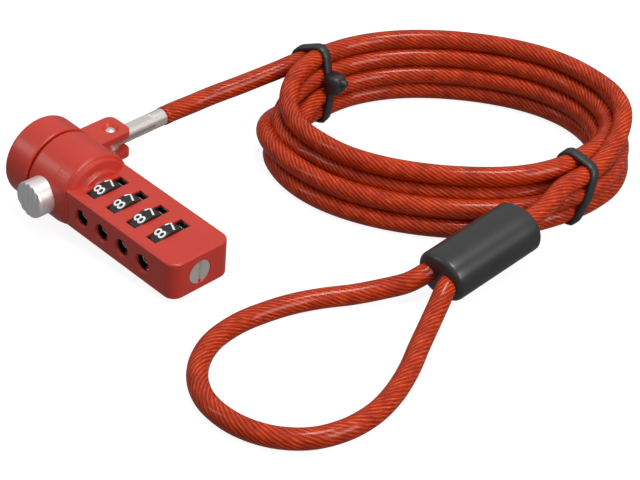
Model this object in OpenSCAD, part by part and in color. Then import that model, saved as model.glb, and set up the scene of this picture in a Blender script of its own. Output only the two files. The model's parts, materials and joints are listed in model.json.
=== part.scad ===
// Combination cable lock for a portable computer: a zinc lock body with four number dials and a side button,
// a swivelling end ring with a clevis, and a coated steel cable that ends in a loop. Millimetres, +Z up.
// The lock lies on its drum; X runs from the end ring to the nose.

/* [Lock body] */
// Width of the body at the dials
body_w = 18.5; // [18:0.1:19.5]
// Height of the body at the dials
body_h = 10.4; // [10.2:0.1:10.8]
// Length from the rear face to the nose
lock_len = 62; // [61.5:0.1:64]
// Radius of the upright corners at the nose
nose_r = 3.1; // [2:0.1:3.5]
// Rounding of the body's long edges
edge_r = 0.6; // [0.4:0.1:0.8]

/* [Drum and end ring] */
// Radius of the drum that holds the mechanism
drum_r = 10.8; // [10.6:0.1:10.9]
// Radius of the swivelling end ring
ring_r = 11.0; // [10.9:0.1:11.1]
// Length of the end ring
ring_len = 8.6; // [8.4:0.1:8.6]

/* [Dials] */
// Radius of a dial
dial_r = 6.2; // [6.1:0.05:6.2]
// Width of a dial
dial_w = 3.3; // [3:0.1:3.4]
// Distance from one dial to the next
dial_pitch = 7.5; // [7.4:0.1:7.5]
// Diameter of the round windows in the side of the body
peep_d = 4.93; // [4.5:0.05:5]

/* [Button and bolt] */
// Diameter of the push button
button_d = 9.6; // [9.2:0.1:9.6]
// Height of the button's face above the drum
button_out = 3.9; // [3.6:0.1:4.2]
// Travel of the push button
button_travel = 3.455; // [3.0:0.005:3.455]

/* [Cable] */
// Diameter of the coated cable
cable_d = 5.0; // [4.8:0.1:5.0]
// Mean radius of the coil of stored cable
coil_r = 39.0; // [38.5:0.1:39.2]
// Half the difference between the coil's long and short radii
coil_oval = 4.2; // [4:0.1:4.3]

/* [Hidden] */
$fn = 96;
small = 32;
fit = 0.06;

// Resting attitude: the drum's front lower edge touches the surface, and the stiff cable holds the nose up
rest_tilt = 5.8;
drum_edge_x = 17.6;
drum_edge_r = 1.8;
rest_x = -28.95;
rest_y = -3.65;
rest_z = drum_edge_x * sin(rest_tilt) + (drum_r - drum_edge_r) * cos(rest_tilt) + drum_edge_r;

// Drum and shoulder, along X
drum_x0 = 8.95;
chamber_x = 14.5;
chamber_r = button_d / 2 + 0.05;
chamber_y = 8.2;
neck_r = 7.5;
ring_edge_r = 0.35;
plate_r = 9.0;
plate_t = 1.75;
body_x0 = 19.5;
hump_side_x = 16.9;

// Dial stack
dial_y = -1.0;
window_y = -0.7;
screw_y = -0.7;
dial_x0 = 27.8;
window_l = 11.03;
window_w = dial_w + 0.27;
pocket_x0 = 24.3;
pocket_x1 = 54.0;
pocket_y0 = -7.35;
pocket_y1 = 8.0;
pocket_top = 4.0;
side_wall = 0.95;
peep_step = 0.7;
peep_dx = 0.45;
cover_t = 1.0;
spindle_r = 1.2;
hub_r = 4.0;
hub_len = 6.6;
fin_x = 1.25;
fin_t = 0.6;
ramp = 0.4;
spindle_travel = button_travel * ramp;

// Clevis and cable end
pin_x = 6.8;
pin_y = 17.6;
lug_r = 4.4;
lug_end = 3.8;
lug_corner = 2.2;
lug_h = 7.7;
ear_t = 1.8;
pin_r = 1.3;
ferrule_r = 2.3;
ferrule_len = 35 - pin_y;
tbar_r = 1.4;
rack_z = 2.2;
pinion_teeth = 6;
tooth_pitch = 2 * PI * rack_z / pinion_teeth;
groove_pitch = 1.7;
groove_r = 0.85;
groove_t = 0.45;

// Coil: an oval ring of stored cable, its ties, and the loop at the far end
coil_x = 30.5;
coil_y = 83.9;
coil_dir = 32;
coil_in = -5.9;
coil_out = 5.2;
coil_h = 19.6;
back_tie_angle = 190;
front_tie_angle = 2;
tie_w = 2.6;
tie_t = 1.1;
back_tie_h = 18.6;
front_tie_h = 15.6;
sleeve_at = [73.85, 33.6, 6.2];
sleeve_turn = [6.9, 0, -3.1];
sleeve_len = 28.2;
sleeve_r = 6.0;
strand_gap = 2.6;
crimp_len = 14;

// Cable routes, from the ferrule to the coil, from the coil to the sleeve, and round the loop
tail_route = [
    [-21.6, 41, 12], [-20.4, 48, 12.6], [-18.6, 55, 13.3], [-16.9, 62, 14.1], [-15.5, 67, 14.8],
    [-14.9, 70, 15.2], [-14.7, 73, 15.2]];
run_route = [[73.7, 81.5, 11.8], [73.8, 78.5, 11.8], [75, 73, 11.2]];
loop_route = [
    [68.4, 29.2, 4.6], [64.8, 24.5, 3.3], [60.8, 18.5, 2.6], [56.8, 12.5, 2.5], [53.6, 6, 2.5],
    [51.4, -1.5, 2.5], [50.4, -9, 2.5], [51.5, -17.5, 2.5], [55, -24.4, 2.5], [59.8, -29.4, 2.5],
    [65.8, -32.8, 2.5], [72.3, -34.2, 2.5], [79.5, -33.8, 2.5], [86.8, -31, 2.5], [92.4, -25.8, 2.5],
    [95.4, -18.5, 2.5], [95.8, -10.5, 2.5], [94, -2.5, 2.5], [90.2, 6.5, 2.5], [85.8, 14.5, 2.5],
    [82, 21.8, 2.7], [79.2, 27.8, 3.8]];

// ---- shared functions and shapes ----

function oval_r(a, off) = coil_r + off + coil_oval * cos(2 * (a - coil_dir));
function oval_at(a, off, z) = [coil_x + oval_r(a, off) * cos(a), coil_y + oval_r(a, off) * sin(a), z];
function tilt_y(p, v) = [p[0], p[1] * cos(v[0]) - p[2] * sin(v[0]), p[1] * sin(v[0]) + p[2] * cos(v[0])];
function turn_z(p, v) = [p[0] * cos(v[2]) - p[1] * sin(v[2]), p[0] * sin(v[2]) + p[1] * cos(v[2]), p[2]];
function sleeve_point(u, side) =
    sleeve_at + turn_z(tilt_y([side * strand_gap, u, 0], sleeve_turn), sleeve_turn);
function unit(v) = v / norm(v);
function way(pts, i) = unit(pts[min(i + 1, len(pts) - 1)] - pts[max(i - 1, 0)]);
function at_rest(p) = [
    rest_x + p[0] * cos(rest_tilt) + p[2] * sin(rest_tilt), rest_y + p[1],
    rest_z - p[0] * sin(rest_tilt) + p[2] * cos(rest_tilt)];
function side_of(t) = unit(cross(t, [0, 0, 1]));

// Closed solid through a row of rings that have equally many points, with flat ends
module skin(rings) {
    n = len(rings);
    sides = len(rings[0]);
    walls = [for (i = [0:n - 2]) for (k = [0:sides - 1])
        let (a = i * sides + k, b = i * sides + (k + 1) % sides)
            each [[a, b, b + sides], [a, b + sides, a + sides]]];
    start = [[for (k = [sides - 1:-1:0]) k]];
    end = [[for (k = [0:sides - 1]) (n - 1) * sides + k]];
    polyhedron(points = [for (ring = rings) each ring], faces = concat(walls, start, end), convexity = 6);
}

// Tube of radius r swept along the points
module tube(pts, r, sides = 10) skin([for (i = [0:len(pts) - 1])
    let (t = way(pts, i), s = side_of(t), u = cross(s, t))
        [for (k = [0:sides - 1]) pts[i] + r * (cos(360 * k / sides) * s + sin(360 * k / sides) * u)]]);

// Puts the lock's own frame (x along the lock, drum axis at y = z = 0) at rest on the surface
module lying() translate([rest_x, rest_y, rest_z]) rotate([0, rest_tilt, 0]) children();

// Rounded disc: a flat disc of radius r and height h whose edges are rounded by e
module puck(r, h, e) rotate_extrude($fn = small) hull() {
    translate([0, -h / 2]) square([r - e, h]);
    for (z = [-1, 1]) translate([r - e, z * (h / 2 - e)]) circle(e, $fn = 24);
}

// Cylinder along X from x0 to x1
module rod(x0, x1, r) translate([x0, 0, 0]) rotate([0, 90, 0]) cylinder(h = x1 - x0, r = r);

// Solid of revolution about X: the 2-D profile is drawn as [x, radius]
module turned() rotate([90, 0, 90]) rotate_extrude() rotate(-90) mirror([1, 0]) children();

// Coil spring: a wire of radius w wound with the given turns from z = 0 to z = len
module spring(len, r, w, turns) {
    n = turns * 10;
    tube([for (i = [0:n]) [r * cos(36 * i), r * sin(36 * i), w + (len - 2 * w) * i / n]], w, 6);
}

// ---- lock body ----

module drum_profile() polygon(concat(
    [[drum_x0, 0], [drum_x0, drum_r - 0.9]],
    [for (a = [165:-15:90]) [drum_x0 + 0.9 + 0.9 * cos(a), drum_r - 0.9 + 0.9 * sin(a)]],
    [for (a = [90:-15:30]) [drum_edge_x + drum_edge_r * cos(a),
        drum_r - drum_edge_r + drum_edge_r * sin(a)]],
    [[19.55, 9.05]],
    [for (a = [75:-15:15]) [19.7 + 1.5 * cos(a), 7.35 + 1.5 * sin(a)]],
    [for (a = [180:15:270]) [24.0 + 2.6 * cos(a), body_h / 2 + 2.4 + 2.6 * sin(a)]],
    [[24.0, 0]]));

module body_block() hull() {
    for (s = [-1, 1])
        translate([lock_len - nose_r, s * (body_w / 2 - nose_r), 0]) puck(nose_r, body_h, edge_r);
    for (s = [-1, 1]) for (t = [-1, 1])
        translate([body_x0, s * (body_w / 2 - edge_r), t * (body_h / 2 - edge_r)])
            rotate([0, 90, 0]) cylinder(h = 1, r = edge_r, $fn = 24);
}

module cover_plate(gap) {
    translate([pocket_x0 + gap, -7.95 + gap, -body_h / 2])
        cube([lock_len - 4.2 - pocket_x0 - 2 * gap, 15.9 - 2 * gap, cover_t]);
    translate([pocket_x0 - 1.1 + gap, -4 + gap, -body_h / 2 + cover_t - 0.05])
        cube([2.2 - gap, 8 - 2 * gap, 0.75]);
}

// Upper shoulder: the drum's top runs on over the body and comes down to it in three rounded steps, and its
// sides taper into the body's sides. Each row is [x, radius, half width]
HUMP = [
    [hump_side_x, drum_r - 0.03, drum_r], [21.6, drum_r - 0.03, 9.85], [22.0, 10.66, 9.8], [22.3, 10.36, 9.7],
    [22.5, 9.98, 9.6], [22.75, 9.8, 9.5], [23.1, 9.76, 9.45], [23.35, 9.56, 9.4], [23.55, 9.1, 9.35],
    [23.7, 8.4, 9.3], [23.88, 7.76, 9.25], [24.1, 7.38, 9.2], [24.4, 7.18, 9.2], [24.6, 6.88, 9.2],
    [24.78, 6.3, 9.2], [25.0, 5.78, 9.2], [25.35, 5.4, 9.2], [25.8, 5.14, 9.2]];

module hump() skin([for (s = HUMP) [for (a = [0:5:355])
    [s[0], max(min(-s[1] * cos(a), s[2]), -s[2]), max(s[1] * sin(a), 0.03 - body_h / 2)]]]);

module peep_holes() for (i = [0:3])
    translate([dial_x0 + peep_dx + i * dial_pitch, -body_w / 2, 0]) rotate([-90, 0, 0]) {
        cylinder(h = 3, d = peep_d - peep_step);
        translate([0, 0, -0.01]) cylinder(h = 0.5, d1 = peep_d, d2 = peep_d - peep_step);
    }

module windows(z) for (i = [0:3])
    translate([dial_x0 + i * dial_pitch - window_w / 2, window_y - window_l / 2, z])
        cube([window_w, window_l, 3]);

module cover_screw_at() for (s = [-1, 1]) translate([56.3, s * 5.6, -body_h / 2]) children();

module housing() color("#c8372c") lying() difference() {
    union() {
        turned() drum_profile();
        body_block();
        hump();
        rod(plate_t, drum_x0 + 1, neck_r);
    }
    rod(0, chamber_x, tbar_r + fit);
    translate([chamber_x, -drum_r - 1, 0]) rotate([-90, 0, 0])
        cylinder(h = drum_r + 1 + chamber_y, r = chamber_r);
    translate([0, dial_y, 0]) rod(chamber_x, lock_len - 3, spindle_r + fit);
    translate([pocket_x0, pocket_y0, -body_h / 2 + 0.5])
        cube([pocket_x1 - pocket_x0, pocket_y1 - pocket_y0, pocket_top + body_h / 2 - 0.5]);
    translate([pocket_x0, side_wall - body_w / 2, -3.2])
        cube([pocket_x1 - pocket_x0, pocket_y0 + body_w / 2 - side_wall + 0.1, 6.4]);
    cover_plate(0);
    windows(pocket_top - 1);
    peep_holes();
    translate([0, screw_y, 0]) rod(lock_len - 1.6, lock_len + 1, 3.29);
    translate([0, screw_y, 0]) rod(lock_len - 2.4, lock_len, 1.6 + fit);
    cover_screw_at() cylinder(h = 4.5, r = 0.8);
    for (s = [-1, 1]) translate([0, s * 4.6, 0]) rod(0, 6.2, 0.8);
}

module bottom_cover() color("#b8322a") lying() difference() {
    cover_plate(0.05);
    windows(-body_h / 2 - 1);
    cover_screw_at() translate([0, 0, -1]) cylinder(h = 4, r = 0.85);
    cover_screw_at() translate([0, 0, -1]) cylinder(h = 1.62, r = 1.5);
}

module cover_screws() color("#8d9094") lying() cover_screw_at() difference() {
    union() {
        translate([0, 0, 0.05]) cylinder(h = 0.55, r = 1.45);
        translate([0, 0, 0.3]) cylinder(h = 3.9, r = 0.8);
    }
    for (a = [0, 90]) rotate(a) translate([-0.9, -0.15, 0]) cube([1.8, 0.3, 0.35]);
}

module slot_plate() color("#9a9da1") lying() {
    difference() {
        rod(0, plate_t, plate_r);
        rod(-1, plate_t + 1, tbar_r + fit);
        for (s = [-1, 1]) translate([0, s * 4.6, 0]) {
            rod(-1, plate_t + 1, 0.85);
            rod(-1, 0.9, 1.5);
        }
    }
    for (s = [-1, 1]) translate([-2, -1.3, s * 2.55 - 0.45]) cube([2.02, 2.6, 0.9]);
}

module plate_screws() color("#8d9094") lying() for (s = [-1, 1]) translate([0, s * 4.6, 0]) difference() {
    union() {
        rod(0.1, 0.9, 1.45);
        rod(0.5, 6, 0.8);
    }
    translate([0, -0.2, -1.6]) cube([0.5, 0.4, 3.2]);
}

module detent_spring() color("#a9adb2") lying() {
    translate([pocket_x0 + 0.3, 7.7, -3.9]) cube([pocket_x1 - pocket_x0 - 0.6, 0.28, 1.6]);
    for (i = [0:3]) translate([dial_x0 + i * dial_pitch - 1.2, 0, 0]) rotate([90, 0, 90])
        linear_extrude(2.4) polygon([
            [7.98, -3.9], [7.7, -3.9], [7.7, -2.6], [5.52, -0.6], [5.52, 0.5], [5.78, 0.5], [5.78, -0.45],
            [7.98, -2.4]]);
}

module spindle_spring() color("#b5b8bc") lying() translate([lock_len - 4.95, dial_y, 0]) rotate([0, 90, 0])
    spring(1.9, 0.95, 0.15, 4);

module button_spring() color("#b5b8bc") lying() translate([chamber_x, chamber_y - 1.65, 2.6])
    rotate([-90, 0, 0]) spring(1.6, 1.1, 0.16, 4);

// ---- swivelling end ring and its pin ----

module lug_outline() hull() {
    for (s = [-1, 1])
        translate([pin_x + s * (lug_r - lug_corner), pin_y + lug_end - lug_corner]) circle(lug_corner);
    translate([pin_x - lug_r, 0]) square([2 * lug_r, pin_y]);
}

module swivel_ring() color("#c8372c") lying() difference() {
    union() {
        turned() polygon(concat(
            [[0, 0]],
            [for (a = [180:-15:90]) [1.2 + 1.2 * cos(a), ring_r - 1.2 + 1.2 * sin(a)]],
            [for (a = [90:-15:0]) [ring_len - ring_edge_r + ring_edge_r * cos(a),
                ring_r - ring_edge_r + ring_edge_r * sin(a)]],
            [[ring_len, 0]]));
        translate([0, 0, -lug_h / 2]) linear_extrude(lug_h) lug_outline();
    }
    rod(-1, ring_len + 9, neck_r + fit);
    rod(-1, plate_t + 0.05, plate_r + fit);
    rod(ring_len, ring_len + 9, drum_r + 0.4);
    translate([-5, 13.4, -lug_h / 2 + ear_t]) cube([30, 20, lug_h - 2 * ear_t]);
    translate([pin_x, pin_y, -10]) cylinder(h = 20, r = pin_r);
    for (s = [0, 1]) mirror([0, 0, s]) translate([pin_x, pin_y, lug_h / 2 - 0.8])
        cylinder(h = 0.81, r1 = pin_r + 0.15, r2 = 2.2);
}

module clevis_pin() color("#c9c5bd") lying() translate([pin_x, pin_y, 0]) {
    cylinder(h = lug_h - 1.5, r = pin_r, center = true);
    for (s = [0, 1]) mirror([0, 0, s]) translate([0, 0, lug_h / 2 - 0.8]) intersection() {
        cylinder(h = 2, r = pin_r);
        translate([0, 0, -1.6]) sphere(2.1);
    }
}

// ---- dials, hubs and spindle ----

module dial(i) color("#1d1e20") lying() translate([dial_x0 + (i - 1) * dial_pitch, dial_y, 0]) turned()
    polygon([
        [-dial_w / 2, hub_r], [-dial_w / 2, dial_r - 0.2], [-dial_w / 2 + 0.2, dial_r],
        [dial_w / 2 - 0.2, dial_r], [dial_w / 2, dial_r - 0.2], [dial_w / 2, hub_r]]);

module hub(i) color("#b08d4a") lying() translate([dial_x0 + (i - 1) * dial_pitch, dial_y, 0]) difference() {
    union() {
        rod(-dial_w / 2, dial_w / 2, hub_r);
        rod(-hub_len / 2, hub_len / 2, 3.3);
    }
    rod(-hub_len, hub_len, spindle_r + fit);
    rod(fin_x - 0.1, hub_len, 2.7);
    translate([-hub_len, -0.75, -2.7]) cube([2 * hub_len, 1.5, 2.7]);
}

module dial_1() dial(1);
module dial_2() dial(2);
module dial_3() dial(3);
module dial_4() dial(4);
module hub_1() hub(1);
module hub_2() hub(2);
module hub_3() hub(3);
module hub_4() hub(4);

module spindle() color("#9a9da1") lying() translate([0, dial_y, 0]) {
    turned() polygon([[17.9, 0], [19.1, spindle_r], [55.2, spindle_r], [55.4, spindle_r - 0.2], [55.4, 0]]);
    for (i = [0:3]) translate([dial_x0 + i * dial_pitch + fin_x, -0.6, -2.55]) cube([fin_t, 1.2, 2.55]);
}

module code_screw() color("#b9b3a8") lying() translate([0, screw_y, 0]) difference() {
    union() {
        rod(lock_len - 1.55, lock_len - 0.15, 3.2);
        rod(lock_len - 2.3, lock_len - 1, 1.6);
    }
    translate([lock_len - 0.9, -0.5, -4]) cube([2, 1, 8]);
}

// ---- button, bolt and their gearing ----

// Button with finger grooves across its face
module push_button() color("#c3c6c9") lying() translate([chamber_x, 0, 0]) rotate([90, 0, 0]) difference() {
    rotate_extrude() polygon(concat(
        [[0, 8.6], [button_d / 2, 8.6]],
        [for (a = [0:15:90]) [button_d / 2 - 0.7 + 0.7 * cos(a), drum_r + button_out - 0.7 + 0.7 * sin(a)]],
        [[0, drum_r + button_out]]));
    for (k = [-2:2]) translate([k * groove_pitch, 0, drum_r + button_out + groove_r - groove_t])
        rotate([90, 0, 0]) cylinder(h = 2 * button_d, r = groove_r, center = true, $fn = small);
}

module rack_tooth() polygon([[-0.62, 0.62], [-0.2, -0.5], [0.2, -0.5], [0.62, 0.62]]);

module button_stem() color("#a9adb2") lying() {
    translate([chamber_x - 1.9, -8.6, rack_z + 0.6]) cube([3.8, 11.6, 0.9]);
    for (i = [-2:0]) translate([chamber_x - 1.9, (i + 0.5) * tooth_pitch, rack_z])
        rotate([90, 0, 90]) linear_extrude(3.8) rack_tooth();
    translate([chamber_x + 1.9, -8.6, -1]) cube([1.2, 8.9, rack_z + 2.5]);
    translate([chamber_x + 3.0, 0, -1]) linear_extrude(2) polygon([
        [0, dial_y + 1], [0.4 - ramp, dial_y + 1], [0.3, dial_y],
        [0.3 + spindle_travel, dial_y - button_travel], [0.3 + spindle_travel, -8.3], [0, -8.3]]);
}

module pinion() color("#b08d4a") lying() difference() {
    union() {
        rod(chamber_x - 1.8, chamber_x + 1.8, rack_z - 0.5);
        for (k = [0:pinion_teeth - 1]) rotate([k * 360 / pinion_teeth, 0, 0])
            translate([chamber_x - 1.8, 0, rack_z]) rotate([90, 0, 90]) linear_extrude(3.6)
                polygon([[-0.45, -0.8], [0.45, -0.8], [0.2, 0.5], [-0.2, 0.5]]);
    }
    rod(0, chamber_x + 3, tbar_r);
}

module tbar() color("#c3c6c9") lying() {
    rod(-2.7, chamber_x + 1.9, tbar_r);
    translate([-4.2, -3.25, -tbar_r]) cube([1.6, 6.5, 2 * tbar_r]);
}

// ---- cable and the pieces on it ----

module end_ferrule() color("#c9c5bd") lying() difference() {
    union() {
        translate([pin_x, pin_y, 0]) intersection() {
            cylinder(h = 3.9, r = ferrule_r, center = true);
            translate([-5, -5, -5]) cube(10);
        }
        translate([pin_x, pin_y, 0]) rotate([-90, 0, 0]) intersection() {
            cylinder(h = 13.4, r = ferrule_r);
            translate([-5, -1.95, 0]) cube([10, 3.9, 20]);
        }
        translate([pin_x, pin_y + 13.4, 0]) rotate([-90, 0, 0])
            cylinder(h = ferrule_len - 13.4, r = ferrule_r);
    }
    translate([pin_x, pin_y, -5]) cylinder(h = 10, r = pin_r + fit);
    translate([pin_x - 5, pin_y - 5, -0.45]) cube([10, 18.4, 0.9]);
}

module cable_tail() color("#b8452a") tube(concat(
    [for (u = [0, 4]) at_rest([pin_x, pin_y + ferrule_len + u, 0])], tail_route), cable_d / 2);

module tie_place(angle, h)
    translate(oval_at(angle, (coil_in + coil_out) / 2, h / 2)) rotate(angle) children();

// Outer shape of a tie round the bundle: w by h with corners of radius c
module tie_block(w, h, c) rotate([90, 0, 0]) linear_extrude(tie_w, center = true) hull()
    for (s = [-1, 1]) for (t = [-1, 1]) translate([s * (w / 2 - c), t * (h / 2 - c)]) circle(c, $fn = small);

module tie_band(h) difference() {
    tie_block(coil_out - coil_in + 1, h, 3.5);
    rotate([90, 0, 0]) linear_extrude(2 * tie_w, center = true) hull()
        for (s = [-1, 1]) for (t = [-1, 1])
            translate([s * ((coil_out - coil_in + 1) / 2 - 3.5), t * (h / 2 - 3.5)])
                circle(3.5 - tie_t, $fn = small);
}

module cable_coil() color("#b8452a") difference() {
    linear_extrude(coil_h) difference() {
        polygon([for (a = [0:4:356]) let (p = oval_at(a, coil_out, 0)) [p[0], p[1]]]);
        polygon([for (a = [0:4:356]) let (p = oval_at(a, coil_in, 0)) [p[0], p[1]]]);
    }
    tie_place(back_tie_angle, back_tie_h) tie_gap(back_tie_h);
    tie_place(front_tie_angle, front_tie_h) tie_gap(front_tie_h);
    strand_notch(tail_route[len(tail_route) - 1], 1);
    strand_notch(run_route[0], -1);
}

// Room in the coil's outer corner for a strand that ends at point p, coming (dir 1) or leaving (dir -1)
module strand_notch(p, dir) translate([p[0] - 10 - dir * 7.4, p[1] - 30, p[2] - cable_d / 2 - 0.1])
    cube([20, 30, 30]);

// Space taken out of the coil where a tie draws the strands together
module tie_gap(h) difference() {
    cube([30, tie_w + 0.2, 60], center = true);
    rotate([90, 0, 0]) linear_extrude(2 * tie_w, center = true) hull()
        for (s = [-1, 1]) for (t = [-1, 1])
            translate([s * ((coil_out - coil_in + 1) / 2 - 3.5), t * (h / 2 - 3.5)])
                circle(3.5 - tie_t - 0.05, $fn = small);
}

module back_tie() color("#26272a") tie_place(back_tie_angle, back_tie_h) {
    tie_band(back_tie_h);
    translate([-(coil_out - coil_in + 1) / 2 - 3.3, -2.3, -1]) cube([3.4, 4.6, 4.8]);
}

module front_tie() color("#26272a") tie_place(front_tie_angle, front_tie_h) tie_band(front_tie_h);

module cable_run() color("#b8452a") tube(concat(
    run_route, [for (u = [4, 0]) sleeve_point(sleeve_len + u, 0)]), cable_d / 2);

module cable_loop() color("#b8452a")
    tube(concat([for (u = [0, -3]) sleeve_point(u, -1)], loop_route, [for (u = [-3, 0]) sleeve_point(u, 1)]),
        cable_d / 2);

module in_sleeve()
    translate(sleeve_at) rotate([0, 0, sleeve_turn[2]]) rotate([sleeve_turn[0], 0, 0]) children();

module loop_crimp() color("#a9adb2") in_sleeve() translate([0, 8, 0]) rotate([-90, 0, 0]) {
    for (s = [-1, 1]) translate([s * strand_gap, 0, 0]) cylinder(h = crimp_len, r = 3.2);
    translate([-strand_gap, -3.2, 0]) cube([2 * strand_gap, 6.4, crimp_len]);
}

module loop_sleeve() color("#222326") in_sleeve() difference() {
    hull() for (s = [-1, 1]) for (u = [0, sleeve_len])
        translate([s * 1.2, abs(u - 1.2), 0]) rotate([90, 0, 0]) puck(sleeve_r, 2.4, 1.15);
    translate([0, 8, 0]) rotate([-90, 0, 0]) {
        for (s = [-1, 1]) translate([s * strand_gap, 0, 0]) cylinder(h = crimp_len, r = 3.2);
        translate([-strand_gap, -3.2, 0]) cube([2 * strand_gap, 6.4, crimp_len]);
    }
}

housing();
bottom_cover();
cover_screws();
slot_plate();
plate_screws();
detent_spring();
spindle_spring();
button_spring();
swivel_ring();
clevis_pin();
dial_1();
dial_2();
dial_3();
dial_4();
hub_1();
hub_2();
hub_3();
hub_4();
spindle();
code_screw();
push_button();
button_stem();
tbar();
pinion();
end_ferrule();
cable_tail();
cable_coil();
cable_run();
cable_loop();
loop_sleeve();
loop_crimp();
back_tie();
front_tie();
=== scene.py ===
"""Looks of the combination cable lock: paint, dials and numbers, metal finishes and the coated cable."""
import json
import math

import bmesh
import bpy
from mathutils import Matrix, Vector


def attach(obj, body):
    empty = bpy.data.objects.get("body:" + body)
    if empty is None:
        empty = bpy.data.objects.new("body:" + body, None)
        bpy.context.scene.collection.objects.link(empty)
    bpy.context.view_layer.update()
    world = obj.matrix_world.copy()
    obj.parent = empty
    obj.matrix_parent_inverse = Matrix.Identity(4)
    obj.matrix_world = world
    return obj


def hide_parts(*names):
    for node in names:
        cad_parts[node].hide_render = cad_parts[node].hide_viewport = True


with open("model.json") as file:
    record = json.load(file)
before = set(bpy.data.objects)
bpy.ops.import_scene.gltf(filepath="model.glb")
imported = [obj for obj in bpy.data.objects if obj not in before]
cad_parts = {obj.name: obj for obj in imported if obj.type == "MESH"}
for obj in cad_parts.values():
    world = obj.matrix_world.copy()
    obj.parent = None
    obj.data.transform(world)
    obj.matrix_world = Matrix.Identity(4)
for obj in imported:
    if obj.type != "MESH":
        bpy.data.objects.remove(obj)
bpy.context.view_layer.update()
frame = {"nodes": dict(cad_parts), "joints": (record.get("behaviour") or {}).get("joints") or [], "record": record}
NODES = frame["nodes"]
JOINTS = {joint["name"]: joint for joint in frame["joints"]}
MM = 0.001


# ---- small helpers ----

def polar(radius, degrees):
    """(cos, sin) of an angle times a radius."""
    return radius * math.cos(math.radians(degrees)), radius * math.sin(math.radians(degrees))


def smooth_step(t):
    """0 to 1 with level ends, held outside 0..1."""
    t = min(1.0, max(0.0, t))
    return t * t * (3 - 2 * t)


def new_piece(name, verts, faces, body, smooth=True):
    """A mesh object that rides on a CAD body."""
    mesh = bpy.data.meshes.new(name)
    mesh.from_pydata([tuple(v) for v in verts], [], faces)
    mesh.update()
    piece = bpy.data.objects.new(name, mesh)
    bpy.context.scene.collection.objects.link(piece)
    mesh.polygons.foreach_set("use_smooth", [smooth] * len(mesh.polygons))
    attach(piece, body)
    return piece


def catmull(points, step):
    """Points a step apart along a smooth curve through the given points."""
    pts = [Vector(p) for p in points]
    pts = [2 * pts[0] - pts[1]] + pts + [2 * pts[-1] - pts[-2]]
    fine = []
    for a, b, c, d in zip(pts, pts[1:], pts[2:], pts[3:]):
        ta = 0.0
        tb = ta + (b - a).length ** 0.5
        tc = tb + (c - b).length ** 0.5
        td = tc + (d - c).length ** 0.5
        for k in range(24):
            t = tb + (tc - tb) * k / 24
            p = a * (tb - t) / (tb - ta) + b * (t - ta) / (tb - ta)
            q = b * (tc - t) / (tc - tb) + c * (t - tb) / (tc - tb)
            r = c * (td - t) / (td - tc) + d * (t - tc) / (td - tc)
            u = p * (tc - t) / (tc - ta) + q * (t - ta) / (tc - ta)
            v = q * (td - t) / (td - tb) + r * (t - tb) / (td - tb)
            fine.append(u * (tc - t) / (tc - tb) + v * (t - tb) / (tc - tb))
    fine.append(pts[-2])
    run = [0.0]
    for a, b in zip(fine, fine[1:]):
        run.append(run[-1] + (b - a).length)
    count = max(2, round(run[-1] / step))
    out, j = [], 0
    for i in range(count + 1):
        at = run[-1] * i / count
        while j < len(run) - 2 and run[j + 1] < at:
            j += 1
        w = (at - run[j]) / max(1e-12, run[j + 1] - run[j])
        out.append(fine[j].lerp(fine[j + 1], min(1.0, w)))
    return out, run[-1]


# ---- camera ----

CAMERA_AT = Vector((0.3310, -0.2579, 0.2700))
CAMERA_LOOK = Vector((-0.59736, 0.58703, -0.54640))
LENS = 112.5


def make_camera():
    data = bpy.data.cameras.new("camera")
    data.lens = LENS
    data.sensor_width = 36.0
    camera = bpy.data.objects.new("camera", data)
    bpy.context.scene.collection.objects.link(camera)
    camera.location = CAMERA_AT
    camera.rotation_mode = "QUATERNION"
    camera.rotation_quaternion = CAMERA_LOOK.to_track_quat("-Z", "Y")
    data.clip_start = 0.01
    data.clip_end = 20
    bpy.context.scene.camera = camera


make_camera()

# ---- the cable ----

CABLE_D = 5.0 * MM
PIN = Vector(JOINTS["clevis_pivot"]["pos_m"])
FERRULE_END = PIN + Vector((0, 17.4 * MM, 0))
TAIL = [
    (-21.6, 41, 12), (-20.4, 48, 12.6), (-18.6, 55, 13.3), (-16.9, 62, 14.1), (-15.5, 67, 14.8),
    (-14.9, 70, 15.2), (-14.7, 73, 15.2)]
RUN = [(73.7, 81.5, 11.8), (73.8, 78.5, 11.8), (75, 73, 11.2)]
LOOP = [
    (68.4, 29.2, 4.6), (64.8, 24.5, 3.3), (60.8, 18.5, 2.6), (56.8, 12.5, 2.5), (53.6, 6, 2.5),
    (51.4, -1.5, 2.5), (50.4, -9, 2.5), (51.5, -17.5, 2.5), (55, -24.4, 2.5), (59.8, -29.4, 2.5),
    (65.8, -32.8, 2.5), (72.3, -34.2, 2.5), (79.5, -33.8, 2.5), (86.8, -31, 2.5), (92.4, -25.8, 2.5),
    (95.4, -18.5, 2.5), (95.8, -10.5, 2.5), (94, -2.5, 2.5), (90.2, 6.5, 2.5), (85.8, 14.5, 2.5),
    (82, 21.8, 2.7), (79.2, 27.8, 3.8)]

COIL_AT = (30.5, 83.9)
COIL_R = 39.0
COIL_OVAL = 4.2
COIL_DIR = 32
BACK_TIE = 190
FRONT_TIE = 2
# Where each strand lies in the bundle (outwards, up), in the order the cable is wound:
# behind, under the front tie, and in front
BEHIND = [(2.6, 7.4), (2.8, 2.5), (-3.0, 2.5), (-3.3, 7.3), (-2.0, 12.05), (-0.5, 16.8)]
HELD = [(2.4, 7.2), (1.6, 2.5), (-3.2, 2.5), (-2.9, 8.0), (-3.0, 13.2), (2.0, 11.9)]
IN_FRONT = [(2.4, 7.5), (3.4, 2.5), (-2.8, 2.5), (-4.2, 8.0), (-4.2, 13.1), (2.0, 11.9)]
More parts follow.
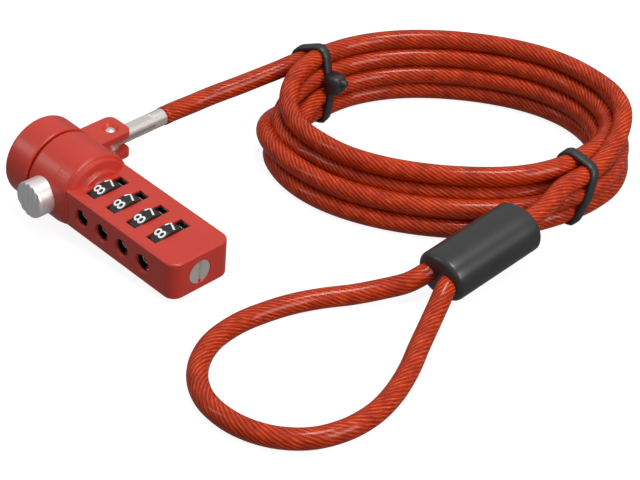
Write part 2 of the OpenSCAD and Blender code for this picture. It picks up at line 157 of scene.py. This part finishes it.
# How far each strand swings out while it climbs to its next place, and bulges out before the front tie
SWING = [2.2, 0.0, -0.8, 4.6, 2.0]
BULGE = [-0.9, -0.9, 0.0, 0.0, 0.8, 2.4]
SLEEVE_AT = Vector((73.85, 33.6, 6.2)) * MM
SLEEVE_LEN = 28.2
SLEEVE_RISE = 6.9
SLEEVE_HEADING = -3.1
STRAND_GAP = 2.6
SLEEVE_TURN = Matrix.Rotation(math.radians(SLEEVE_HEADING), 3, "Z") @ \
    Matrix.Rotation(math.radians(SLEEVE_RISE), 3, "X")

# The cable inside the sleeve (along it, side), on its way to the loop and back from it
INTO_SLEEVE = [(SLEEVE_LEN + 4, 0), (SLEEVE_LEN, 0), (SLEEVE_LEN - 6, -0.2), (8, -1), (4, -1.05), (0.5, -1.35)]
BACK_IN_SLEEVE = [(0.5, 1.2), (4, 1.05), (8, 1), (SLEEVE_LEN - 8, 1)]


def coil_point(degrees, outwards, up):
    """Point at an angle round the oval coil, outwards from its middle line and up from the floor, in mm."""
    r = COIL_R + outwards + COIL_OVAL * math.cos(math.radians(2 * (degrees - COIL_DIR)))
    x, y = polar(r, degrees)
    return Vector((COIL_AT[0] + x, COIL_AT[1] + y, up))


def bundle_place(lap, degrees):
    """Place (outwards, up) of a lap's strand at an angle that falls from 190 to -170."""
    place = Vector(BEHIND[lap])
    if lap == 0:
        place = Vector((4.0, 15.3)).lerp(place, smooth_step((BACK_TIE - degrees) / 42))
    place.x += BULGE[lap] * math.exp(-((degrees - 38) / 20) ** 2)
    start = 48 if lap > 3 else 30
    place = place.lerp(Vector(HELD[lap]), smooth_step((start - degrees) / (start - 4)))
    place = place.lerp(Vector(IN_FRONT[lap]), smooth_step(-degrees / 40))
    if lap < len(SWING):
        s = smooth_step((-128 - degrees) / 42)
        place = place.lerp(Vector(BEHIND[lap + 1]), s)
        swing = min(1.0, max(0.0, (-106 - degrees) / 64))
        place.x += SWING[lap] * math.sin(math.pi * swing) ** 2
    return place.x, place.y


def coil_points():
    points = []
    for lap in range(6):
        first = BACK_TIE - 6 if lap == 0 else BACK_TIE
        last = FRONT_TIE if lap == 5 else -160
        points += [coil_point(a, *bundle_place(lap, a)) for a in range(first, last - 1, -10)]
    return points


def sleeve_point(u, side):
    """Point in the sleeve's own frame: u along it from its near end, side across it, in mm."""
    return SLEEVE_AT + SLEEVE_TURN @ (Vector((side * STRAND_GAP, u, 0)) * MM)


def tube_mesh(name, line, radius, sides, body):
    """Closed tube round a line, with a UV map of (metres along, turns round) for its strand pattern."""
    verts, faces, uvs = [], [], []
    normal = Vector((0, 0, 1))
    run = 0.0
    rings = len(line)
    along = []
    for i, p in enumerate(line):
        t = (line[min(i + 1, rings - 1)] - line[max(i - 1, 0)]).normalized()
        normal = (normal - t * normal.dot(t)).normalized()
        other = t.cross(normal)
        if i:
            run += (p - line[i - 1]).length
        along.append(run)
        for k in range(sides):
            c, s = polar(radius, 360 * k / sides)
            verts.append(p + normal * c + other * s)
    for i in range(rings - 1):
        for k in range(sides):
            a, b = i * sides + k, i * sides + (k + 1) % sides
            faces.append((a, b, b + sides, a + sides))
            u0, u1, v0, v1 = along[i], along[i + 1], k / sides, (k + 1) / sides
            uvs.append([(u0, v0), (u0, v1), (u1, v1), (u1, v0)])
    faces.append(tuple(range(sides - 1, -1, -1)))
    faces.append(tuple((rings - 1) * sides + k for k in range(sides)))
    uvs.append([(0, k / sides) for k in range(sides - 1, -1, -1)])
    uvs.append([(run, k / sides) for k in range(sides)])
    piece = new_piece(name, verts, faces, body)
    layer = piece.data.uv_layers.new(name="strand")
    at = 0
    for corner_uvs in uvs:
        for uv in corner_uvs:
            layer.data[at].uv = uv
            at += 1
    return piece


def cable_line():
    route = [FERRULE_END, FERRULE_END + Vector((0, 4 * MM, 0))]
    route += [Vector(p) * MM for p in TAIL]
    route += [p * MM for p in coil_points()]
    route += [Vector(p) * MM for p in RUN]
    route += [sleeve_point(u, side) for u, side in INTO_SLEEVE]
    route += [Vector(p) * MM for p in LOOP]
    route += [sleeve_point(u, side) for u, side in BACK_IN_SLEEVE]
    return catmull(route, 1.5 * MM)


LINE, CABLE_LENGTH = cable_line()
cable = tube_mesh("cable", LINE, CABLE_D / 2, 24, "cable")
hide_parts("cable_tail", "cable_coil", "cable_run", "cable_loop")
print("cable length", round(CABLE_LENGTH, 4))

# ---- pieces on the cable: sleeve and ties ----

def ring_stack(name, rings, body):
    """Closed mesh through a row of rings that have equally many points."""
    n = len(rings[0])
    verts = [p for ring in rings for p in ring]
    faces = [(i * n + k, i * n + (k + 1) % n, (i + 1) * n + (k + 1) % n, (i + 1) * n + k)
        for i in range(len(rings) - 1) for k in range(n)]
    faces.append(tuple(range(n - 1, -1, -1)))
    faces.append(tuple((len(rings) - 1) * n + k for k in range(n)))
    return new_piece(name, verts, faces, body)


SLEEVE_HALF_W = 7.2
SLEEVE_HALF_H = 5.95
SLEEVE_END_R = 1.6


def make_sleeve():
    """Moulded sleeve: an oval section with rounded ends."""
    stations = [(0.02, 4.2)] + [(SLEEVE_END_R - math.sin(math.radians(a)) * SLEEVE_END_R,
        SLEEVE_END_R * (1 - math.cos(math.radians(a)))) for a in (90, 75, 60, 45, 30, 15, 0)]
    far = [(SLEEVE_LEN - u, inset) for u, inset in stations[::-1]]
    stations += [(SLEEVE_END_R + (SLEEVE_LEN - 2 * SLEEVE_END_R) * k / 8, 0) for k in range(1, 8)] + far
    rings = []
    for u, inset in stations:
        ring = []
        for k in range(48):
            c, s = polar(1, 360 * k / 48)
            power = 2 / 2.3
            x = (SLEEVE_HALF_W - inset) * math.copysign(abs(c) ** power, c)
            z = (SLEEVE_HALF_H - inset) * math.copysign(abs(s) ** power, s)
            ring.append(SLEEVE_AT + SLEEVE_TURN @ (Vector((x, u, z)) * MM))
        rings.append(ring)
    return ring_stack("sleeve", rings, "cable")


def hull_loop(centres, radius, count=64):
    """Outline of a band pulled tight round circles at the given centres, as evenly spaced points."""
    cloud = []
    for cx, cz in centres:
        for k in range(72):
            c, s = polar(radius, 5 * k)
            cloud.append((cx + c, cz + s))
    cloud.sort()
    def half(points):
        chain = []
        for p in points:
            while len(chain) > 1 and (chain[-1][0] - chain[-2][0]) * (p[1] - chain[-2][1]) <= \
                    (chain[-1][1] - chain[-2][1]) * (p[0] - chain[-2][0]):
                chain.pop()
            chain.append(p)
        return chain[:-1]
    outline = half(cloud) + half(cloud[::-1])
    run = [0.0]
    for a, b in zip(outline, outline[1:] + outline[:1]):
        run.append(run[-1] + math.dist(a, b))
    points, j = [], 0
    closed = outline + outline[:1]
    for i in range(count):
        at = run[-1] * i / count
        while run[j + 1] < at:
            j += 1
        w = (at - run[j]) / (run[j + 1] - run[j])
        points.append((closed[j][0] + (closed[j + 1][0] - closed[j][0]) * w,
            closed[j][1] + (closed[j + 1][1] - closed[j][1]) * w))
    return points


TIE_W = 2.7
TIE_T = 1.0


def tie_section(w, t):
    """Outline across a band of width w and thickness t, with rounded outer edges."""
    half = [(-w / 2, 0.0), (-w / 2, t * 0.6), (-w / 2 + 0.3, t)]
    return half + [(-x, y) for x, y in half[::-1]]


def make_tie(name, top_angle, foot_angle, centres, head=None):
    """Band pulled tight round the strands, leaning along the coil from its top angle to its foot angle."""
    inner = hull_loop(centres, CABLE_D / MM / 2 + 0.03)
    n = len(inner)
    high = max(z for _, z in inner)
    section = tie_section(TIE_W, TIE_T)
    m = len(section)
    verts, faces = [], []
    for i, (a, z) in enumerate(inner):
        before, after = inner[i - 1], inner[(i + 1) % n]
        dx, dz = after[0] - before[0], after[1] - before[1]
        size = math.hypot(dx, dz)
        angle = foot_angle + (top_angle - foot_angle) * z / high
        along = Vector((*polar(1, angle + 90), 0))
        for w, t in section:
            base = coil_point(angle, a + dz / size * t, max(z - dx / size * t, 0.02))
            verts.append((base + along * w) * MM)
        j = (i + 1) % n
        faces += [(i * m + k, i * m + (k + 1) % m, j * m + (k + 1) % m, j * m + k) for k in range(m)]
    if head:
        add_tie_head(verts, faces, (top_angle + foot_angle) / 2, *head)
    return new_piece(name, verts, faces, "cable")


def add_tie_head(verts, faces, angle, out, up):
    """The tie's head: a tapered block with the cut end of the strap standing out of it."""
    for depth, half_w, low, high in ((4.4, 2.3, -2.4, 2.6), (6.0, 1.1, -0.3, 1.9)):
        rings = []
        for d, inset in ((0.0, 0.0), (depth - 0.5, 0.1), (depth, 0.6)):
            w, lo, hi = half_w - inset, low + inset, high - inset
            rings.append([(-w, lo + 0.4), (-w + 0.4, lo), (w - 0.4, lo), (w, lo + 0.4), (w, hi - 0.4),
                (w - 0.4, hi), (-w + 0.4, hi), (-w, hi - 0.4)])
            along = Vector((*polar(1, angle + 90), 0))
            rings[-1] = [(coil_point(angle, out - d, up + b) + along * a) * MM for a, b in rings[-1]]
        base, k8 = len(verts), 8
        verts += [p for ring in rings for p in ring]
        faces += [(base + i * k8 + k, base + i * k8 + (k + 1) % k8, base + (i + 1) * k8 + (k + 1) % k8,
            base + (i + 1) * k8 + k) for i in range(2) for k in range(k8)]
        faces.append(tuple(base + k for k in range(k8 - 1, -1, -1)))
        faces.append(tuple(base + 2 * k8 + k for k in range(k8)))


def strands_at(degrees):
    return [bundle_place(lap, degrees) for lap in range(6)]


sleeve = make_sleeve()
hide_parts("loop_sleeve")
back_band = make_tie("back_band", BACK_TIE - 1, BACK_TIE + 5, strands_at(BACK_TIE), (-5.2, 11.4))
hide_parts("back_tie")
front_band = make_tie("front_band", FRONT_TIE + 4, FRONT_TIE - 4, strands_at(FRONT_TIE + 2))
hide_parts("front_tie")

# ---- numbers on the dials ----

AX = Vector(JOINTS["ring_swivel"]["axis"]).normalized()
AY = Vector((0, 1, 0))
AZ = AX.cross(AY)
LOCK_AT = Vector(JOINTS["ring_swivel"]["pos_m"]) - AX * 4 * MM
DIAL_R = 6.2
DIAL_TURN = 3
DIGIT_H = 3.05
DIGIT_PROUD = 0.03
DIGIT_SUNK = 0.03


def digit_mesh(text):
    """Flat mesh of one number, centred, DIGIT_H high, in mm."""
    curve = bpy.data.curves.new("digit", "FONT")
    curve.body = text
    curve.size = 1.0
    curve.offset = 0.004
    curve.resolution_u = 6
    made = bpy.data.objects.new("digit", curve)
    bpy.context.scene.collection.objects.link(made)
    bpy.context.view_layer.update()
    mesh = bpy.data.meshes.new_from_object(made.evaluated_get(bpy.context.evaluated_depsgraph_get()))
    bpy.data.objects.remove(made)
    bpy.data.curves.remove(curve)
    grid = bmesh.new()
    grid.from_mesh(mesh)
    bpy.data.meshes.remove(mesh)
    bmesh.ops.remove_doubles(grid, verts=grid.verts, dist=1e-5)
    xs = [v.co.x for v in grid.verts]
    ys = [v.co.y for v in grid.verts]
    scale = DIGIT_H / (max(ys) - min(ys))
    wide = 0.8 / ((max(xs) - min(xs)) / (max(ys) - min(ys)))
    wide = min(1.2, wide) if text != "1" else 1.0
    for v in grid.verts:
        v.co.x = (v.co.x - (max(xs) + min(xs)) / 2) * scale * wide
        v.co.y = (v.co.y - (max(ys) + min(ys)) / 2) * scale
    return grid


def make_numbers(index):
    """The ten white numbers printed round a dial, as thin raised shapes."""
    centre = Vector(JOINTS[f"dial_{index}_turn"]["pos_m"])
    verts, faces = [], []
    for number in range(10):
        grid = digit_mesh(str(number))
        bmesh.ops.triangulate(grid, faces=grid.faces)
        extruded = bmesh.ops.extrude_face_region(grid, geom=grid.faces[:])
        top = [g for g in extruded["geom"] if isinstance(g, bmesh.types.BMVert)]
        for v in top:
            v.co.z = DIGIT_PROUD + DIGIT_SUNK
        bmesh.ops.subdivide_edges(grid, edges=[e for e in grid.edges if e.calc_length() > 0.5], cuts=2)
        bmesh.ops.recalc_face_normals(grid, faces=grid.faces)
        grid.verts.ensure_lookup_table()
        base = len(verts)
        for v in grid.verts:
            phi = math.radians(36 * number - 180 + DIAL_TURN) - v.co.x / DIAL_R
            r = DIAL_R - DIGIT_SUNK + v.co.z
            verts.append(centre + (AY * math.cos(phi) * r + AZ * math.sin(phi) * r - AX * v.co.y) * MM)
        faces += [[base + v.index for v in f.verts] for f in grid.faces]
        grid.free()
    piece = new_piece(f"numbers_{index}", verts, faces, f"dial_{index}_body", smooth=False)
    return piece


numbers = [make_numbers(index) for index in range(1, 5)]

# ---- materials ----

def new_material(name, color, roughness, metallic=0.0, coat=0.0, coat_roughness=0.1):
    """A Principled material; returns it with its node tree and shader."""
    made = bpy.data.materials.new(name)
    made.use_nodes = True
    tree = made.node_tree
    shader = tree.nodes["Principled BSDF"]
    shader.inputs["Base Color"].default_value = (*color, 1)
    shader.inputs["Roughness"].default_value = roughness
    shader.inputs["Metallic"].default_value = metallic
    shader.inputs["Coat Weight"].default_value = coat
    shader.inputs["Coat Roughness"].default_value = coat_roughness
    return made, tree, shader


def add(tree, kind, **inputs):
    node = tree.nodes.new(kind)
    for key, value in inputs.items():
        if key in ("operation", "blend_type", "data_type", "uv_map"):
            setattr(node, key, value)
        else:
            node.inputs[key.replace("_", " ")].default_value = value
    return node


def noise(tree, scale, detail=3.0):
    """Noise in object coordinates."""
    where = tree.nodes.new("ShaderNodeTexCoord")
    made = add(tree, "ShaderNodeTexNoise", Scale=scale, Detail=detail)
    tree.links.new(where.outputs["Object"], made.inputs["Vector"])
    return made.outputs["Fac"]


def ramp(tree, source, stops):
    """Colours mixed along a 0 to 1 value."""
    made = tree.nodes.new("ShaderNodeValToRGB")
    tree.links.new(source, made.inputs["Fac"])
    elements = made.color_ramp.elements
    while len(elements) < len(stops):
        elements.new(0.5)
    for element, (at, color) in zip(elements, stops):
        element.position = at
        element.color = (*color, 1)
    return made.outputs["Color"]


def spread_value(tree, source, low, high):
    made = add(tree, "ShaderNodeMapRange", To_Min=low, To_Max=high)
    tree.links.new(source, made.inputs["Value"])
    return made.outputs["Result"]


def math_node(tree, operation, first, second=None):
    """One math step; the second value may be a number or another node's output."""
    made = add(tree, "ShaderNodeMath", operation=operation)
    tree.links.new(first, made.inputs[0])
    if isinstance(second, (int, float)):
        made.inputs[1].default_value = second
    elif second is not None:
        tree.links.new(second, made.inputs[1])
    return made.outputs[0]


def mix_color(tree, blend, first, second):
    """Two colours blended in full."""
    made = add(tree, "ShaderNodeMix", data_type="RGBA", blend_type=blend)
    made.inputs[0].default_value = 1.0
    tree.links.new(first, made.inputs[6])
    tree.links.new(second, made.inputs[7])
    return made.outputs[2]


def bump(tree, shader, source, strength, distance):
    made = add(tree, "ShaderNodeBump", Strength=strength, Distance=distance)
    tree.links.new(source, made.inputs["Height"])
    tree.links.new(made.outputs["Normal"], shader.inputs["Normal"])


def speckled(name, color, shade, roughness, rough_span, grain, bump_mm, **more):
    """A material with fine colour, roughness and height variation at one grain size."""
    made, tree, shader = new_material(name, color, roughness, **more)
    fine = noise(tree, grain)
    broad = noise(tree, 90, 2.0)
    tone_and_glints = ramp(tree, broad, [(0.3, tuple(c * shade for c in color)), (0.7, color)])
    tree.links.new(tone_and_glints, shader.inputs["Base Color"])
    tree.links.new(spread_value(tree, fine, roughness - rough_span, roughness + rough_span),
        shader.inputs["Roughness"])
    bump(tree, shader, fine, 0.5, bump_mm * MM)
    return made


# Box round the room inside the housing, in mm, where shade is painted: its middle in the lock's own frame, and
# half its size; it reaches up most of the window walls
PAINTED_SHADE_AT = (39.15, -0.12, 0.0)
PAINTED_SHADE_HALF = (14.95, 8.2, 4.7)


def shade_inside(made):
    """Painted shade: inside the lock body, and up most of the window walls, the red paint gives way to near black.
    """
    tree = made.node_tree
    shader = tree.nodes["Principled BSDF"]
    tilt = Matrix((AX, AY, AZ))
    where = tree.nodes.new("ShaderNodeTexCoord")
    lock = add(tree, "ShaderNodeMapping")
    lock.inputs["Location"].default_value = tilt @ (-LOCK_AT / MM) - Vector(PAINTED_SHADE_AT)
    lock.inputs["Rotation"].default_value = tilt.to_euler()
    lock.inputs["Scale"].default_value = (1 / MM, 1 / MM, 1 / MM)
    tree.links.new(where.outputs["Object"], lock.inputs["Vector"])
    split = tree.nodes.new("ShaderNodeSeparateXYZ")
    tree.links.new(lock.outputs[0], split.inputs[0])
    parts = []
    for side, half in zip("XYZ", PAINTED_SHADE_HALF):
        distance = math_node(tree, "ABSOLUTE", split.outputs[side])
        parts.append(math_node(tree, "LESS_THAN", distance, half))
    painted_shade_mask = math_node(tree, "MULTIPLY", math_node(tree, "MULTIPLY", parts[0], parts[1]), parts[2])
    blend = add(tree, "ShaderNodeMix", data_type="RGBA")
    outside = shader.inputs["Base Color"].links[0].from_socket
    tree.links.new(painted_shade_mask, blend.inputs[0])
    tree.links.new(outside, blend.inputs[6])
    # near-black painted shade inside the box, in place of the paint colour
    blend.inputs[7].default_value = (0.012, 0.010, 0.010, 1)
    tree.links.new(blend.outputs[2], shader.inputs["Base Color"])


RED = (0.57, 0.036, 0.019)
red_paint = speckled("red_paint", RED, 0.93, 0.34, 0.05, 2200, 0.006, coat=0.25, coat_roughness=0.12)
# the red paint gets painted shade inside the lock body
shade_inside(red_paint)
dial_black = speckled("dial_black", (0.018, 0.018, 0.020), 0.8, 0.42, 0.08, 3500, 0.006)
number_white = speckled("number_white", (0.86, 0.86, 0.85), 0.97, 0.5, 0.05, 3000, 0.002)
nickel = speckled("nickel", (0.95, 0.90, 0.85), 0.88, 0.32, 0.07, 2500, 0.004, metallic=0.8)
steel = speckled("steel", (0.55, 0.55, 0.56), 0.85, 0.34, 0.08, 2500, 0.004, metallic=1.0)
wire = speckled("wire", (0.6, 0.6, 0.62), 0.9, 0.25, 0.05, 3000, 0.002, metallic=1.0)
brass = speckled("brass", (0.70, 0.50, 0.22), 0.85, 0.30, 0.06, 2500, 0.004, metallic=1.0)
button_metal = speckled("button_metal", (0.95, 0.94, 0.94), 0.95, 0.36, 0.05, 4200, 0.010, metallic=0.7)
black_rubber = speckled("black_rubber", (0.026, 0.026, 0.028), 0.8, 0.36, 0.05, 2600, 0.008,
    coat=0.3, coat_roughness=0.16)
tie_black = speckled("tie_black", (0.030, 0.031, 0.034), 0.8, 0.38, 0.05, 3000, 0.006)

STRANDS = 15
LAY_LENGTH = 27.0 * MM


def make_jacket():
    """Clear red vinyl over twisted wire: slanting strands in deep red and orange under a glossy skin; the orange
    along each strand's middle is a painted highlight, the deep red at its edges is painted shade in the grooves
    between strands, and bright broken streaks along the wires are painted glints.
    """
    made, tree, shader = new_material("cable_jacket", (0.5, 0.06, 0.02), 0.5, coat=0.42, coat_roughness=0.11)
    shader.inputs["Specular IOR Level"].default_value = 0.1
    where = add(tree, "ShaderNodeUVMap", uv_map="strand")
    split = tree.nodes.new("ShaderNodeSeparateXYZ")
    tree.links.new(where.outputs["UV"], split.inputs[0])
    along = math_node(tree, "MULTIPLY", split.outputs["X"], STRANDS / LAY_LENGTH)
    across = math_node(tree, "MULTIPLY", split.outputs["Y"], STRANDS)
    phase = math_node(tree, "SUBTRACT", along, across)
    wobble = math_node(tree, "MULTIPLY", noise(tree, 500, 2.0), 0.5)
    strand = math_node(tree, "FRACT", math_node(tree, "ADD", phase, wobble))
    # across each strand: deep red at its edges as painted shade in the grooves, bright orange at its middle as a
    # painted highlight on its crest
    strand_tone_and_shade = ramp(tree, strand, [
        (0.0, (0.33, 0.015, 0.003)), (0.3, (0.49, 0.028, 0.004)), (0.5, (0.72, 0.088, 0.009)),
        (0.7, (0.49, 0.028, 0.004)), (1.0, (0.33, 0.015, 0.003))])
    # painted glints: noise along the wires darkens the colour a little in places and brightens and yellows it in
    # thin broken streaks
    wires = tree.nodes.new("ShaderNodeCombineXYZ")
    tree.links.new(math_node(tree, "MULTIPLY", phase, 4.0), wires.inputs[0])
    tree.links.new(math_node(tree, "MULTIPLY", split.outputs["X"], 420.0), wires.inputs[1])
    painted_glints = add(tree, "ShaderNodeTexNoise", Scale=1.0, Detail=2.0)
    tree.links.new(wires.outputs[0], painted_glints.inputs["Vector"])
    tone_and_glints = ramp(tree, painted_glints.outputs["Fac"], [
        (0.36, (0.72, 0.60, 0.60)), (0.52, (1.0, 1.0, 1.0)), (0.66, (1.3, 2.1, 2.0))])
    patches = ramp(tree, noise(tree, 240, 3.0), [(0.35, (0.78, 0.70, 0.70)), (0.62, (1.0, 1.0, 1.0))])
    color = mix_color(tree, "MULTIPLY", mix_color(tree, "MULTIPLY", strand_tone_and_shade, tone_and_glints), patches)
    tree.links.new(color, shader.inputs["Base Color"])
    round_strand = ramp(tree, strand, [
        (0.0, (0, 0, 0)), (0.2, (0.7, 0.7, 0.7)), (0.5, (1, 1, 1)), (0.8, (0.7, 0.7, 0.7)), (1.0, (0, 0, 0))])
    bump(tree, shader, round_strand, 0.3, 0.06 * MM)
    return made


jacket = make_jacket()


def dress(obj, made):
    obj.data.materials.clear()
    obj.data.materials.append(made)


FINISH = {
    "red_paint": red_paint, "black_dial": dial_black, "hub_brass": brass, "steel": steel, "nickel": nickel,
    "button_metal": button_metal, "spring_steel": wire, "cable_jacket": jacket, "black_rubber": black_rubber}
for entry in frame["record"]["subparts"]:
    dress(NODES[entry["node"]], FINISH[entry["material_slot"]])
dress(cable, jacket)
dress(sleeve, black_rubber)
dress(back_band, tie_black)
dress(front_band, tie_black)
for piece in numbers:
    dress(piece, number_white)

# ---- floor and light ----

# The floor glows so that it looks nearly white without lighting the object from below
FLOOR_GREY = 0.28
FLOOR_GLOW = 0.88
FLOOR_HALF = 3.0


def make_stage():
    floor_mesh = bpy.data.meshes.new("floor")
    corners = [(x * FLOOR_HALF, y * FLOOR_HALF, 0) for x, y in ((-1, -1), (1, -1), (1, 1), (-1, 1))]
    floor_mesh.from_pydata(corners, [], [(0, 1, 2, 3)])
    floor = bpy.data.objects.new("floor", floor_mesh)
    floor.location.z = -0.0001
    bpy.context.scene.collection.objects.link(floor)
    made, tree, shader = new_material("floor_white", (FLOOR_GREY,) * 3, 0.9)
    shader.inputs["Specular IOR Level"].default_value = 0.0
    shader.inputs["Emission Color"].default_value = (1, 1, 1, 1)
    shader.inputs["Emission Strength"].default_value = FLOOR_GLOW
    dress(floor, made)
    floor.visible_diffuse = False
    floor.visible_glossy = False


def add_light(name, at, size, power):
    data = bpy.data.lights.new(name, "AREA")
    data.shape = "RECTANGLE"
    data.size, data.size_y = size
    data.energy = power
    light = bpy.data.objects.new(name, data)
    bpy.context.scene.collection.objects.link(light)
    light.location = at
    light.rotation_mode = "QUATERNION"
    light.rotation_quaternion = (Vector((0.03, 0.04, 0)) - Vector(at)).to_track_quat("-Z", "Y")


# Grey of the surroundings, from below (0) to above (1)
SKY = [(0.0, 0.20), (0.1, 0.18), (0.4, 0.45), (1.0, 0.55)]


def make_light():
    scene = bpy.context.scene
    scene.view_settings.view_transform = "Standard"
    world = bpy.data.worlds.new("world")
    scene.world = world
    world.use_nodes = True
    tree = world.node_tree
    where = tree.nodes.new("ShaderNodeTexCoord")
    split = tree.nodes.new("ShaderNodeSeparateXYZ")
    tree.links.new(where.outputs["Generated"], split.inputs[0])
    sky = ramp(tree, split.outputs["Z"], [(at, (grey,) * 3) for at, grey in SKY])
    tree.links.new(sky, tree.nodes["Background"].inputs["Color"])
    add_light("overhead", (0.2, 0.1, 0.9), (0.3, 0.3), 3.6)
    add_light("side", (-0.65, -0.6, 0.6), (0.12, 0.5), 0.6)
    add_light("fill", (0.9, 0.1, 0.45), (0.5, 0.5), 4.2)


make_stage()
make_light()
